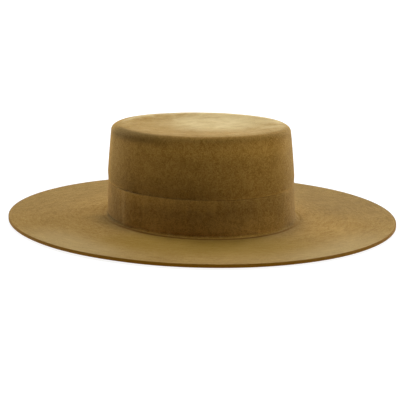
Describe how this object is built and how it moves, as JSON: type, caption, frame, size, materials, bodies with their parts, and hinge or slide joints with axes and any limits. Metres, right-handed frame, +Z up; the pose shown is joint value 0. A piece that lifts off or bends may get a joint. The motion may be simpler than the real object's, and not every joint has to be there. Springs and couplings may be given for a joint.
{
  "type": "gaucho hat",
  "caption": "Flat-brimmed felt hat with a low oval telescope crown, a shallow dished top, a wide level brim with a raw cut edge and a narrow self-felt band",
  "frame": {"origin": "the middle of the brim's underside, in the plane that the hat rests on", "axes": "+Z up through the crown, -Y the way the wearer faces, +X the wearer's left"},
  "size_m": [0.3542, 0.3872, 0.0865],
  "materials": {
    "body_felt": "brushed matte wool felt",
    "band_felt": "matte wool felt strip"
  },
  "bodies": {
    "root": {"hat_body": "body_felt", "band": "band_felt"}
  },
  "joints": []
}
